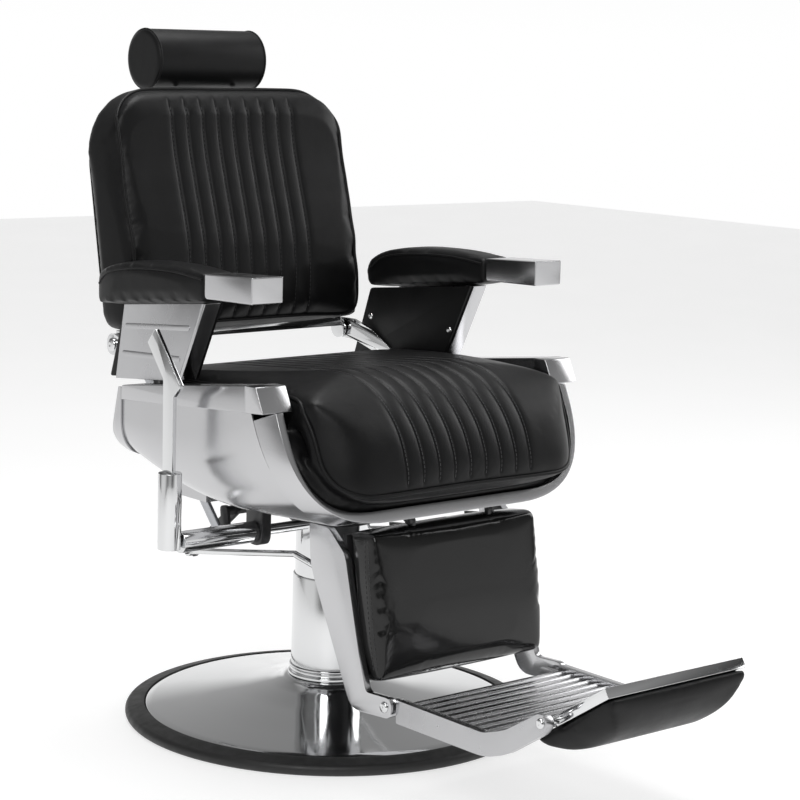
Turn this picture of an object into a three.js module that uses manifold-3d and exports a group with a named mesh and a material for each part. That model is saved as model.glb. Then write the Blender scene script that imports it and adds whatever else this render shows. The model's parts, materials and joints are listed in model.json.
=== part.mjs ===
// Hydraulic barber chair: a swivelling, lifting seat with a reclining back, a linked legrest,
// a folding footplate with a flip-over pad, a sliding head roll and a pump lever.
// Millimetres, +Z up, origin on the floor under the swivel axis. The sitter faces -Y, so the
// sitter's right hand, where the lever is, lies at -X.

import * as THREE from 'three';
import * as BufferGeometryUtils from 'three/addons/utils/BufferGeometryUtils.js';
import Module from 'manifold-3d';

const wasm = await Module();
wasm.setup();

// ---------------------------------------------------------------- driving dimensions

const GAP = 0.3; // clearance between touching pieces
const RUN = 0.4; // radial clearance of a pin in its hole

const BASE = { radius: 350, ringInner: 316, ringHeight: 24, plateHeight: 11, domeTop: 74 };
const COLLAR = { radius: 72, waist: 66, bottom: 74, top: 92 };
const CASING = { outer: 67, inner: 64.1, top: 250 };
const SLEEVE = { outer: 63.5, inner: 57, bottom: 98 };
const PUMP = { cylinder: 42, cylinderTop: 338, ram: 28, ramBottom: 150 };
const HUB = { flange: 76, neck: 55, bottom: 345, top: 396 };
const PLATE = { halfX: 120, front: -150, rear: 140, bottom: 396.3, top: 407.7 };

const TUB = { halfWidth: 329, wall: 4, cornerRadius: 62, front: -290, rear: 152 };
const LINK_SLOT = { x0: -206, x1: -174, front: 84, top: 540 }; // way through the tub for the drive link
const RAIL = { outer: 333, inner: 291, front: -192, rear: 152 };
const CAP_INNER = 276; // inner face of the front corner blocks
const LEAN = THREE.MathUtils.degToRad(24); // the front frame leans, its foot ahead of its head
const FRONT_FRAME = {
  halfOuter: 308,
  side: 14,
  sill: 20,
  depth: 34,
  outerRadius: 165,
  innerRadius: 125,
  height: 184,
  footY: -315.5,
  footZ: 412,
  underside: 411,
  flare: 20,
};

const ARM = { outer: 301, strip: 271, linerInner: 264, padOuter: 328, padInner: 262 };
const ARM_CAP = { outer: 327, inner: 267, front: -197, rear: -72 };

const RECLINE = { y: 300, z: 624 }; // recline axis
const BRACKET = { x: 247, thick: 6, disc: 19, pin: 8 };
const BACK = { halfWidth: 257, board: 13 };
const BACK_TILT = THREE.MathUtils.degToRad(10.8);
const ROLL = { halfLength: 117, radius: 53, y: 420, z: 1108 };
const POST = { x: 62, radius: 6, length: 205 };

const LEG_AXIS = { y: -301, z: 404.5 }; // legrest hinge axis, just under the front frame
const LEG_TILT = THREE.MathUtils.degToRad(7.6);
const LEG_ARM = { outer: 188, inner: 176 };
const LEG_PAD = { halfWidth: 173, height: 236, depth: 64, front: -316, top: 398 };
const LEG_EAR = { x: 84, thick: 6, barrel: 5, pin: 3 };

const ROD = { x: 168, radius: 5.5, eye: 9, pin: 4.5 };
const ROD_FRONT = { y: -185, z: 312 }; // rod pin on the legrest arm
const ROD_REAR = { y: 186, z: 272 }; // rod pin on the rocker
// The rocker axis sits where rocker, rod, legrest and seat make a parallelogram.
const ROCKER = {
  y: ROD_REAR.y - (ROD_FRONT.y - LEG_AXIS.y),
  z: ROD_REAR.z - (ROD_FRONT.z - LEG_AXIS.z),
};
// The two crank arms are chosen so the rocker turns 1.4 times as far as the back, to within 0.5 mm.
const CRANK_X = 186;
const DRIVE_LOW = { y: ROCKER.y - 4.8, z: ROCKER.z - 30.5 };
const DRIVE_HIGH = { y: RECLINE.y - 18.4, z: RECLINE.z - 55.6 };
const DRIVE_ROOM = 1; // extra clearance in the drive link's lower eye
const ROCKER_SHAFT = 8;
const DRIVE_PIN = 5;

const FOOT_AXIS = { y: -372, z: 135 };
const FOOT = { outer: 181, barThick: 15, rear: -392, bend: -590, top: 149, bottom: 113 };
const RIBS = { count: 13, height: 3, first: -398, pitch: 20.5, width: 9 };
const FLAP_AXIS = { y: -712, z: 194 };
const FLAP_TILT = THREE.MathUtils.degToRad(33.3);
const FLAP = { halfWidth: 145, front: 112, rear: 62, panelRear: 28, bar: 16, side: 12, padDepth: 50 };

const LEVER = { x: -372, y: -50, z: 355, tube: 17.5, socket: 19, shaft: 9 };

// ---------------------------------------------------------------- materials

function material(colour, roughness, metalness) {
  return new THREE.MeshStandardMaterial({ color: colour, roughness, metalness });
}

const CHROME = material(0xd9dbde, 0.12, 1);
const CAST = material(0xd2d4d6, 0.28, 1);
const STEEL = material(0x9a9da1, 0.4, 1);
const BLACK_STEEL = material(0x17181a, 0.5, 0.4);
const IRON = material(0x2c2d2f, 0.7, 0.6);
const RUBBER = material(0x111112, 0.75, 0);
const VINYL = material(0x151517, 0.45, 0);
const PATENT = material(0x141415, 0.15, 0);
const BOARD = material(0x1c1b1a, 0.8, 0);

// ---------------------------------------------------------------- shape helpers

const X = new THREE.Vector3(1, 0, 0);
const Y = new THREE.Vector3(0, 1, 0);
const Z = new THREE.Vector3(0, 0, 1);

/** The point a rounding of this radius starts at, on the edge from a corner towards its neighbour. */
function roundingStart(corner, neighbour, radius) {
  const from = new THREE.Vector2(corner[0], corner[1]);
  const to = new THREE.Vector2(neighbour[0], neighbour[1]);
  const share = neighbour.length > 2 ? 0.49 : 0.98;
  return from.clone().lerp(to, Math.min(share, radius / from.distanceTo(to)));
}

/** A closed outline from corners [a, b] or [a, b, radius]; corners with a radius are rounded. */
function outline(corners) {
  const shape = new THREE.Shape();
  const clockwise = THREE.ShapeUtils.isClockWise(corners.map(([x, y]) => ({ x, y })));
  const turn = clockwise ? corners.toReversed() : corners;
  turn.forEach((corner, i) => {
    const radius = corner[2] ?? 0;
    const start = roundingStart(corner, turn.at(i - 1), radius);
    const end = roundingStart(corner, turn[(i + 1) % turn.length], radius);
    if (i === 0) shape.moveTo(start.x, start.y);
    else shape.lineTo(start.x, start.y);
    if (radius > 0) shape.quadraticCurveTo(corner[0], corner[1], end.x, end.y);
  });
  shape.closePath();
  return shape;
}

/** Round hole in a shape. */
function bore(shape, a, b, radius) {
  const hole = new THREE.Path();
  hole.absarc(a, b, radius, 0, 2 * Math.PI, true);
  shape.holes.push(hole);
  return shape;
}

function asShape(outlineOrCorners) {
  return Array.isArray(outlineOrCorners) ? outline(outlineOrCorners) : outlineOrCorners;
}

/** Outline in (y, z) drawn out along X from x0 to x1. */
function alongX(section, x0, x1, segments = 4) {
  const options = { depth: x1 - x0, bevelEnabled: false, curveSegments: segments };
  const geometry = new THREE.ExtrudeGeometry(asShape(section), options);
  geometry.applyMatrix4(new THREE.Matrix4().makeBasis(Y, Z, X));
  return geometry.translate(x0, 0, 0);
}

/** Outline in (x, z) drawn out along Y from y0 to y1. */
function alongY(section, y0, y1, segments = 4, steps = 1) {
  const options = { depth: y1 - y0, bevelEnabled: false, curveSegments: segments, steps };
  const geometry = new THREE.ExtrudeGeometry(asShape(section), options);
  geometry.applyMatrix4(new THREE.Matrix4().makeBasis(X, Z, Y.clone().negate()));
  return geometry.translate(0, y1, 0);
}

/** Outline in (x, y) drawn out along Z from z0 to z1. */
function alongZ(section, z0, z1, segments = 4) {
  const options = { depth: z1 - z0, bevelEnabled: false, curveSegments: segments };
  return new THREE.ExtrudeGeometry(asShape(section), options).translate(0, 0, z0);
}

function block(x0, x1, y0, y1, z0, z1) {
  const geometry = new THREE.BoxGeometry(x1 - x0, y1 - y0, z1 - z0);
  return geometry.translate((x0 + x1) / 2, (y0 + y1) / 2, (z0 + z1) / 2);
}

/** Round bar along X. */
function barX(radius, x0, x1, y, z, sides = 20) {
  const geometry = new THREE.CylinderGeometry(radius, radius, x1 - x0, sides);
  return geometry.rotateZ(Math.PI / 2).translate((x0 + x1) / 2, y, z);
}

/** Round bar between two points. */
function bar(from, to, radius, sides = 14) {
  const [a, b] = [new THREE.Vector3(...from), new THREE.Vector3(...to)];
  const geometry = new THREE.CylinderGeometry(radius, radius, a.distanceTo(b), sides);
  const turn = new THREE.Quaternion().setFromUnitVectors(Y, b.clone().sub(a).normalize());
  const centre = a.clone().add(b).multiplyScalar(0.5);
  return geometry.applyQuaternion(turn).translate(...centre.toArray());
}

/** Solid of revolution about Z from [radius, z] points that start and end on the axis. */
function turned(points, segments = 56) {
  const profile = points.map(([r, z]) => new THREE.Vector2(r, z));
  return new THREE.LatheGeometry(profile, segments).rotateX(Math.PI / 2);
}

/** Tube about Z. */
function pipe(outer, inner, z0, z1, segments = 40) {
  const ring = new THREE.Shape().absarc(0, 0, outer, 0, 2 * Math.PI, false);
  return alongZ(bore(ring, 0, 0, inner), z0, z1, segments);
}

function disc(a, b, radius) {
  return new THREE.Shape().absarc(a, b, radius, 0, 2 * Math.PI, false);
}

// ---------------------------------------------------------------- joining and cutting

function solid(geometry) {
  const bare = new THREE.BufferGeometry();
  bare.setAttribute('position', geometry.getAttribute('position').clone());
  if (geometry.index) bare.setIndex(geometry.index);
  const merged = BufferGeometryUtils.mergeVertices(bare, 1e-4);
  return new wasm.Manifold(
    new wasm.Mesh({
      numProp: 3,
      vertProperties: merged.getAttribute('position').array,
      triVerts: Uint32Array.from(merged.index.array),
    }),
  );
}

function geometryOf(manifold) {
  const mesh = manifold.getMesh();
  const geometry = new THREE.BufferGeometry();
  geometry.setAttribute('position', new THREE.BufferAttribute(mesh.vertProperties, 3));
  geometry.setIndex(new THREE.BufferAttribute(mesh.triVerts, 1));
  return geometry;
}

function joined(...parts) {
  return geometryOf(parts.map(solid).reduce((a, b) => a.add(b)));
}

function cut(body, ...tools) {
  return geometryOf(tools.map(solid).reduce((a, b) => a.subtract(b), solid(body)));
}

function common(a, b) {
  return geometryOf(solid(a).intersect(solid(b)));
}

/** Moves every vertex by a rule: rule(vector) changes the vector in place. */
function warped(geometry, rule) {
  const position = geometry.getAttribute('position');
  const point = new THREE.Vector3();
  for (let i = 0; i < position.count; i += 1) {
    rule(point.fromBufferAttribute(position, i));
    position.setXYZ(i, point.x, point.y, point.z);
  }
  return geometry;
}

function mirrored(geometry) {
  const flipped = (geometry.index ? geometry.toNonIndexed() : geometry.clone()).scale(-1, 1, 1);
  const position = flipped.getAttribute('position');
  const [a, b] = [new THREE.Vector3(), new THREE.Vector3()];
  for (let i = 0; i < position.count; i += 3) {
    a.fromBufferAttribute(position, i + 1);
    b.fromBufferAttribute(position, i + 2);
    position.setXYZ(i + 1, b.x, b.y, b.z);
    position.setXYZ(i + 2, a.x, a.y, a.z);
  }
  return flipped;
}

/** Turns a geometry about an axis along X through (y, z); a positive angle lifts what lies ahead. */
function lifted(geometry, { y, z }, angle) {
  return geometry.translate(0, -y, -z).rotateX(-angle).translate(0, y, z);
}

// ---------------------------------------------------------------- scene helpers

const chair = new THREE.Group();

function add(name, geometry, look) {
  const mesh = new THREE.Mesh(geometry, look);
  mesh.name = name;
  chair.add(mesh);
}

/** Adds a piece made for the +X side, which is the sitter's left, and its mirror on the right. */
function addPair(name, geometry, look) {
  add(`${name}_right`, mirrored(geometry), look);
  add(`${name}_left`, geometry, look);
}

// ---------------------------------------------------------------- base and pump

function buildBase() {
  const { radius, ringInner, ringHeight, plateHeight, domeTop } = BASE;
  const rim = ringInner - 8;
  add('floor_plate', turned([[0, 0], [rim, 0], [rim, plateHeight], [0, plateHeight]]), IRON);
  const ring = new THREE.Shape();
  ring.moveTo(ringInner - 7, 0);
  ring.lineTo(radius - 9, 0);
  ring.quadraticCurveTo(radius, 2, radius, 11);
  ring.quadraticCurveTo(radius, 16, radius - 9, 19);
  ring.lineTo(ringInner + 2, ringHeight);
  ring.lineTo(ringInner + 2, plateHeight + GAP);
  ring.lineTo(ringInner - 7, plateHeight + GAP);
  const profile = ring.getPoints(3).map((p) => [p.x, p.y]);
  add('base_ring', turned([...profile, profile[0]]), RUBBER);
  const dome = [
    [0, plateHeight + GAP],
    [ringInner, plateHeight + GAP],
    [ringInner, ringHeight - 2],
    [ringInner - 10, ringHeight + 1],
    [235, 36],
    [150, 50],
    [100, 61],
    [82, 68],
    [76, domeTop - GAP],
    [0, domeTop - GAP],
  ];
  add('base_dish', turned(dome), CHROME);
  const { radius: lip, waist, bottom, top } = COLLAR;
  const collar = [
    [0, bottom],
    [lip, bottom],
    [lip, bottom + 5],
    [waist, bottom + 6],
    [waist, top - 6],
    [lip - 2, top - 5],
    [lip - 2, top],
    [0, top],
  ];
  add('base_collar', turned(collar, 40), CHROME);
}

function buildPump() {
  const foot = COLLAR.top + GAP;
  const neck = HUB.bottom - GAP;
  const floor = foot + 7.5;
  add('pump_casing', pipe(CASING.outer, CASING.inner, foot, CASING.top, 20), CHROME);
  add('column_sleeve', pipe(SLEEVE.outer, SLEEVE.inner, SLEEVE.bottom, neck, 20), CHROME);
  const spigot = SLEEVE.inner - 1;
  add('pump_foot', turned([[0, foot], [spigot, foot], [spigot, floor], [0, floor]], 32), IRON);
  add('pump_cylinder', pipe(PUMP.cylinder, PUMP.ram + RUN, floor + GAP, PUMP.cylinderTop, 16), STEEL);
  const { ram, ramBottom } = PUMP;
  add('pump_ram', turned([[0, ramBottom], [ram, ramBottom], [ram, neck], [0, neck]], 32), CHROME);
  const { flange, neck: waist, bottom, top } = HUB;
  const hub = [[0, bottom], [flange, bottom], [flange, bottom + 7], [waist, bottom + 9], [waist, top], [0, top]];
  add('swivel_hub', turned(hub, 40), IRON);
}

// ---------------------------------------------------------------- seat frame and tub

/** Underside of the tub, outside face: lowest under the seat, rising to the rear. */
function tubFloorZ(y) {
  const rise = Math.max(0, y + 120) / (TUB.rear + 120);
  return 408 + 52 * rise ** 1.8;
}

/** Underside of the side rails, which deepen towards the front. */
function railBottomZ(y) {
  return THREE.MathUtils.mapLinear(y, RAIL.rear, -206, 556, 584);
}

function railTopZ(y) {
  return THREE.MathUtils.mapLinear(y, RAIL.rear, -215, 580, 628);
}

/** Half of the tub's U section, from height 0 at the floor to height 1 at the rail. */
function tubSection() {
  const { halfWidth: w, wall: t, cornerRadius: r } = TUB;
  const floorEdge = w - r - 20;
  const shape = new THREE.Shape();
  shape.moveTo(floorEdge, 0);
  shape.lineTo(w - r, 0);
  shape.quadraticCurveTo(w, 0, w, r);
  shape.lineTo(w, 150);
  shape.lineTo(w - t, 150);
  shape.lineTo(w - t, r + 2);
  shape.quadraticCurveTo(w - t, t, w - r - 2, t);
  shape.lineTo(floorEdge, t);
  return shape;
}

/** Lays a section drawn with its floor at 0 and its rim at 150 between the tub floor and the rail. */
function tubWarp(point) {
  const floor = tubFloorZ(point.y);
  const rim = railBottomZ(point.y) - GAP;
  const height = point.z;
  const curved = TUB.cornerRadius + 2;
  const stretched = THREE.MathUtils.mapLinear(height, curved, 150, floor + curved, rim);
  point.z = height <= curved ? floor + height : stretched;
}

/** A large block that fills everything ahead of the front frame's rear face. */
function aheadOfTub() {
  const { depth } = FRONT_FRAME;
  return inFrontFrame(block(-400, 400, -400, depth + GAP, -300, 500));
}

function buildTub() {
  const { halfWidth: w, wall: t, cornerRadius: r, front, rear } = TUB;
  const side = warped(alongY(tubSection(), front, rear, 6, 8), tubWarp);
  addPair('tub_side', cut(side, aheadOfTub()), CHROME);
  const edge = w - r - 20 - GAP;
  const floor = outline([[-edge, 0], [edge, 0], [edge, t], [-edge, t]]);
  const sheet = warped(alongY(floor, front, rear, 1, 8), tubWarp);
  const floorSlot = block(LINK_SLOT.x0, LINK_SLOT.x1, LINK_SLOT.front, rear + 1, 380, 480);
  add('tub_floor', cut(sheet, floorSlot, aheadOfTub()), CHROME);
  buildRearCover();
}

/** The cover that closes the tub's rear end, wrapped round both rear corners. */
function buildRearCover() {
  const { outer } = RAIL;
  const face = TUB.rear + GAP;
  const foot = tubFloorZ(TUB.rear);
  const side = [
    [face, 577],
    [166, 577, 4],
    [190, 496, 16],
    [181, 464, 16],
    [face, foot - 8],
  ];
  const section = [
    [-outer, 580],
    [-outer, foot - 4, 80],
    [-outer + 110, foot - 14, 40],
    [outer - 110, foot - 14, 40],
    [outer, foot - 4, 80],
    [outer, 580],
  ];
  const bulk = common(alongX(side, -outer, outer, 5), alongY(section, face - 1, 200, 6));
  const hollow = block(-outer + 20, outer - 20, face - 1, face + 18, foot + 12, 545);
  const seatRoom = block(-RAIL.inner + 8, RAIL.inner - 8, face - 1, 200, 555, 600);
  const slot = block(LINK_SLOT.x0, LINK_SLOT.x1, face - 1, 200, foot - 30, LINK_SLOT.top);
  add('rear_cover', cut(bulk, hollow, seatRoom, slot), CHROME);
}

function buildRails() {
  const { outer, inner, front, rear } = RAIL;
  const side = [
    [rear, railBottomZ(rear)],
    [rear, railTopZ(rear), 6],
    [front, railTopZ(front)],
    [front, railBottomZ(front)],
  ];
  addPair('rail', alongX(side, inner, outer), CHROME);
  const face = front - GAP;
  const capSide = [
    [face, railBottomZ(face)],
    [face, railTopZ(face)],
    [-219, 626, 3],
    [-239, 586.5, 3],
  ];
  addPair('corner_cap', alongX(capSide, CAP_INNER, outer), CHROME);
}

/** Places a piece drawn in the front frame's own plane, foot at the origin. */
function inFrontFrame(geometry) {
  return geometry.rotateX(-LEAN).translate(0, FRONT_FRAME.footY, FRONT_FRAME.footZ);
}

function buildFrontFrame() {
  const { halfOuter: w, side, sill, depth, outerRadius, innerRadius, height, underside } = FRONT_FRAME;
  const path = outline([
    [-w, height],
    [-w, 0, outerRadius],
    [w, 0, outerRadius],
    [w, height],
    [w - side, height],
    [w - side, sill, innerRadius],
    [-w + side, sill, innerRadius],
    [-w + side, height],
  ]);
  const flared = warped(alongY(path, 0, depth, 8), (point) => {
    point.x *= 1 + (FRONT_FRAME.flare / w) * (point.y / depth);
  });
  const frame = inFrontFrame(flared);
  add('front_frame', cut(frame, block(-w, w, -400, -200, 350, underside)), CHROME);
}

function buildMounting() {
  const { halfX, front, rear, bottom, top } = PLATE;
  const plate = block(-halfX, halfX, front, rear, bottom, top);
  const ear = [
    [ROCKER.y - 13, ROCKER.z, 12],
    [ROCKER.y - 13, ROCKER.z - 13, 12],
    [ROCKER.y + 13, ROCKER.z - 13, 12],
    [ROCKER.y + 16, top - 3],
    [ROCKER.y - 20, top - 3],
  ];
  const ears = [-halfX, halfX - 8].map((x) => {
    const shape = bore(outline(ear), ROCKER.y, ROCKER.z, ROCKER_SHAFT + RUN);
    return alongX(shape, x, x + 8, 8);
  });
  add('mounting_plate', joined(plate, ...ears), BLACK_STEEL);
}

function buildSeatFrame() {
  const floor = tubFloorZ(-120) + TUB.wall;
  const bars = [-150, 150].map((x) => block(x - 18, x + 18, -215, 110, floor + 44, 544.7));
  const cross = [-190, 60].map((y) => block(-151, 151, y - 16, y + 16, tubFloorZ(y + 16) + TUB.wall + 1, 520));
  add('seat_frame', joined(...bars, ...cross), BLACK_STEEL);
}

// ---------------------------------------------------------------- seat cushion

function buildSeat() {
  add('seat_board', alongX([[-220, 545], [149, 545], [149, 557], [-220, 557]], -262, 262), BOARD);
  const side = [
    [188, 558, 8],
    [188, 594, 24],
    [-120, 622, 60],
    [-236, 632, 60],
    [-326, 592, 60],
    [-352, 520, 50],
    [-346, 462, 16],
    [-330, 447, 8],
    [-296, 445],
    [-262, 557],
  ];
  const front = [
    [0, 634, 100],
    [-205, 623, 50],
    [-271, 600, 24],
    [-271, 446, 125],
    [271, 446, 125],
    [271, 600, 24],
    [205, 623, 50],
  ];
  const plan = [
    [-271, 230],
    [-271, -290, 24],
    [-222, -342, 40],
    [0, -354, 60],
    [222, -342, 40],
    [271, -290, 24],
    [271, 230],
  ];
  const bulk = common(alongX(side, -290, 290, 5), alongY(front, -360, 230, 5));
  const rounded = common(bulk, alongZ(plan, 430, 670, 5));
  const notches = [-1, 1].flatMap((s) => [
    block(s * 275 - 23, s * 275 + 23, 158, 230, 540, 680),
    block(s * 275 - 11.5, s * 275 + 11.5, -2, 230, 566, 680),
  ]);
  add('seat_cushion', cut(joined(rounded, boxing()), ...notches), VINYL);
}

/** The band of the cushion that fills the front frame's opening. */
function boxing() {
  const { halfOuter, side, sill, innerRadius } = FRONT_FRAME;
  const edge = halfOuter - side - 1.5;
  const low = sill + 1.5;
  const plug = [
    [-edge, 160],
    [-edge, low, innerRadius],
    [edge, low, innerRadius],
    [edge, 160],
  ];
  return inFrontFrame(alongY(plug, 3, 26, 8));
}

// ---------------------------------------------------------------- armrests

/** Front edge of the arm panels, sloping back towards the seat. */
function armEdge(z) {
  return THREE.MathUtils.mapLinear(z, 731, 606, -38, 23.6);
}

function buildArms() {
  const { outer, strip, linerInner, padOuter, padInner } = ARM;
  const top = 733;
  const foot = 602;
  const panel = [
    [armEdge(top) + 8.5, top],
    [193, 708],
    [217, 580.5],
    [armEdge(foot - 3) + 8.5, foot - 3],
  ];
  addPair('arm_panel', alongX(panel, outer - 5, outer), CAST);
  const bandOf = (width) => [
    [armEdge(top), top],
    [armEdge(top) + width, top],
    [armEdge(foot) + width, foot],
    [armEdge(foot), foot],
  ];
  const channel = joined(alongX(bandOf(8), strip, outer), alongX(bandOf(22), strip, strip + 6));
  addPair('arm_strip', channel, CHROME);
  const liner = [
    [armEdge(top) + 3, top],
    [236, 703, 6],
    [280, 574, 6],
    [armEdge(foot) + 3, foot],
  ];
  addPair('arm_liner', alongX(liner, linerInner, strip - GAP), VINYL);
  const pad = [
    [ARM_CAP.rear + GAP, 741],
    [ARM_CAP.rear + GAP, 784, 10],
    [20, 793, 60],
    [190, 780, 60],
    [252, 750, 30],
    [244, 706, 14],
  ];
  const width = [
    [padInner, 700],
    [padInner, 794, 26],
    [padOuter, 794, 26],
    [padOuter, 700],
  ];
  const plan = [
    [padInner, -90],
    [padOuter, -90],
    [padOuter, 254, 46],
    [padInner, 254, 12],
  ];
  const upright = common(alongX(pad, padInner - 1, padOuter + 1, 5), alongY(width, -90, 260, 5));
  addPair('arm_pad', common(upright, alongZ(plan, 700, 800, 5)), VINYL);
  const cap = [
    [ARM_CAP.front, 749.5],
    [ARM_CAP.front, 791],
    [ARM_CAP.rear, 785],
    [ARM_CAP.rear, 746, 8],
  ];
  addPair('arm_cap', alongX(cap, ARM_CAP.inner, ARM_CAP.outer), CHROME);
}

// ---------------------------------------------------------------- recline brackets

function buildReclineBrackets() {
  const { x, thick, disc: r, pin } = BRACKET;
  const side = outline([
    [RECLINE.y + r, RECLINE.z - r, r * 1.1],
    [RECLINE.y + r, RECLINE.z + r, r * 1.1],
    [262, 643],
    [218, 626],
    [166, 598, 6],
    [172, 586, 4],
    [206, 586],
    [252, 604],
    [278, 606, 8],
  ]);
  bore(side, RECLINE.y, RECLINE.z, pin + RUN);
  const joggle = (point) => {
    point.x += 10 * THREE.MathUtils.smoothstep(-point.y, -256, -214);
  };
  addPair('recline_bracket', warped(alongX(side, x, x + thick, 6), joggle), CHROME);
}

// ---------------------------------------------------------------- backrest and head roll

/** Side outline of the back cushion, front edge curved and leaning back. */
const BACK_SIDE = [
  [252, 648, 20],
  [243, 720],
  [252, 800],
  [282, 880],
  [308, 985],
  [314, 1040, 16],
  [352, 1062, 20],
  [388, 1052, 24],
  [392.6, 975, 20],
  [330, 646],
];

function buildBack() {
  const w = BACK.halfWidth;
  const face = [
    [-w, 640, 42],
    [w, 640, 42],
    [w, 945],
    [w - 22, 1062, 105],
    [-w + 22, 1062, 105],
    [-w, 945],
  ];
  const plan = [
    [-w, 60],
    [-w, -30, 40],
    [-w + 20, -112],
    [w - 20, -112],
    [w, -30, 40],
    [w, 60],
  ];
  const upright = common(alongX(BACK_SIDE, -w - 1, w + 1, 5), alongY(face, 200, 430, 6));
  const bulk = common(upright, along(alongZ(plan, -480, 60)));
  const slots = [-POST.x, POST.x].map((x) => along(block(x - 11, x + 11, -24, 6, -270, 40)));
  add('back_cushion', cut(bulk, ...slots), VINYL);
  const board = along(block(-w + 12, w - 12, 7.6, 7.6 + BACK.board, -408, -76));
  add('back_board', board, VINYL);
}

/** Places a piece drawn about the head roll's foot, with its Z along the back's lean. */
function along(geometry) {
  return geometry.rotateX(-BACK_TILT).translate(0, ROLL.y - 19, ROLL.z - ROLL.radius);
}

function buildHeadrest() {
  const { halfLength, radius, y, z } = ROLL;
  add('headrest_roll', barX(radius, -halfLength, halfLength, y, z, 28), VINYL);
  const posts = [-POST.x, POST.x].map((x) => along(bar([x, -9, -POST.length], [x, -9, 2], POST.radius)));
  const tie = along(bar([-POST.x, -9, -8 + GAP], [POST.x, -9, -8 + GAP], POST.radius));
  const frame = joined(...posts, tie);
  const room = barX(radius + GAP, -halfLength - 1, halfLength + 1, y, z, 28);
  add('headrest_frame', cut(frame, room), CHROME);
}

function buildCrossbar() {
  const { x, disc: r, pin, thick } = BRACKET;
  const beam = block(-x + 8, x - 8, 290, 312, 628, 646);
  const ends = [-1, 1].map((s) => {
    const plate = disc(RECLINE.y, RECLINE.z, r);
    return alongX(plate, s > 0 ? x - 8 : -x + 1, s > 0 ? x - 1 : -x + 8, 8);
  });
  const pins = [-1, 1].map((s) => {
    const far = x + thick + 4;
    return s > 0 ? barX(pin, x - 4, far, RECLINE.y, RECLINE.z) : barX(pin, -far, -x + 4, RECLINE.y, RECLINE.z);
  });
  const crank = outline([
    [RECLINE.y - 9, RECLINE.z + 12],
    [DRIVE_HIGH.y - 11, DRIVE_HIGH.z - 11, 11],
    [DRIVE_HIGH.y + 11, DRIVE_HIGH.z - 11, 11],
    [RECLINE.y + 11, RECLINE.z + 12],
  ]);
  bore(crank, DRIVE_HIGH.y, DRIVE_HIGH.z, DRIVE_PIN + 1);
  const arm = alongX(crank, -CRANK_X - 4, -CRANK_X + 4, 6);
  add('back_crossbar', joined(beam, ...ends, ...pins, arm), CHROME);
}

// ---------------------------------------------------------------- linkage

/** Outline of a flat link with round ends, from one pivot to another. */
function strut(from, to, width) {
  const [a, b] = [new THREE.Vector2(from.y, from.z), new THREE.Vector2(to.y, to.z)];
  const dir = b.clone().sub(a).normalize();
  const side = new THREE.Vector2(-dir.y, dir.x).multiplyScalar(width);
  a.addScaledVector(dir, -width);
  b.addScaledVector(dir, width);
  const corners = [a.clone().sub(side), b.clone().sub(side), b.clone().add(side), a.clone().add(side)];
  return outline(corners.map((p) => [p.x, p.y, width * 0.9]));
}

function buildRocker() {
  const shaft = barX(ROCKER_SHAFT, -CRANK_X + 7, ROD.x - 8, ROCKER.y, ROCKER.z, 16);
  const arms = [-1, 1].map((s) => {
    const x = s * (ROD.x - 12);
    return alongX(strut(ROCKER, ROD_REAR, 10), x - 3, x + 3, 5);
  });
  const crank = alongX(strut(ROCKER, DRIVE_LOW, 10), -CRANK_X + 6, -CRANK_X + 12, 5);
  const pin = barX(DRIVE_PIN, -CRANK_X - 6, -CRANK_X + 8, DRIVE_LOW.y, DRIVE_LOW.z, 14);
  const studs = [-1, 1].map((s) => {
    const [near, far] = [ROD.x - 14, ROD.x + 7];
    return barX(ROD.pin, s > 0 ? near : -far, s > 0 ? far : -near, ROD_REAR.y, ROD_REAR.z, 14);
  });
  add('rocker', joined(shaft, ...arms, crank, pin, ...studs), BLACK_STEEL);
}

function buildDriveLink() {
  const shape = strut(DRIVE_LOW, DRIVE_HIGH, 9);
  bore(shape, DRIVE_LOW.y, DRIVE_LOW.z, DRIVE_PIN + DRIVE_ROOM);
  const link = alongX(shape, -CRANK_X - 10.5, -CRANK_X - 4.5, 5);
  const pin = barX(DRIVE_PIN, -CRANK_X - 8, -CRANK_X + 6, DRIVE_HIGH.y, DRIVE_HIGH.z, 14);
  add('drive_link', joined(link, pin), STEEL);
}

function buildRods() {
  const eye = (p) => alongX(bore(disc(p.y, p.z, ROD.eye), p.y, p.z, ROD.pin + RUN), ROD.x - 4, ROD.x + 4, 7);
  const knee = [ROD.x, -112, 325];
  const rear = bar([ROD.x, ROD_REAR.y - 7, ROD_REAR.z + 1.5], knee, ROD.radius);
  const front = bar(knee, [ROD.x, ROD_FRONT.y + 7, ROD_FRONT.z + 2], ROD.radius);
  const ball = new THREE.SphereGeometry(ROD.radius, 12, 8).translate(...knee);
  addPair('link_rod', joined(rear, front, ball, eye(ROD_REAR), eye(ROD_FRONT)), CHROME);
}

// ---------------------------------------------------------------- legrest

/** Side outline of a legrest arm: a leaning blade with a toe that carries the footplate. */
const LEG_ARM_SIDE = [
  [-174, 391, 6],
  [-180, 322, 20],
  [-290, 112, 24],
  [-388, 119, 14],
  [-388, 151, 14],
  [-326, 148, 8],
  [-306, 205],
  [-266, 356, 12],
  [-224, 391, 8],
];

function buildLegArms() {
  const blade = outline(LEG_ARM_SIDE);
  bore(blade, FOOT_AXIS.y, FOOT_AXIS.z, 5 + RUN);
  const arm = alongX(blade, LEG_ARM.inner, LEG_ARM.outer, 5);
  const stud = barX(ROD.pin, ROD.x - 6, LEG_ARM.inner + 4, ROD_FRONT.y, ROD_FRONT.z, 14);
  addPair('leg_arm', joined(arm, stud), CHROME);
}

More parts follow.
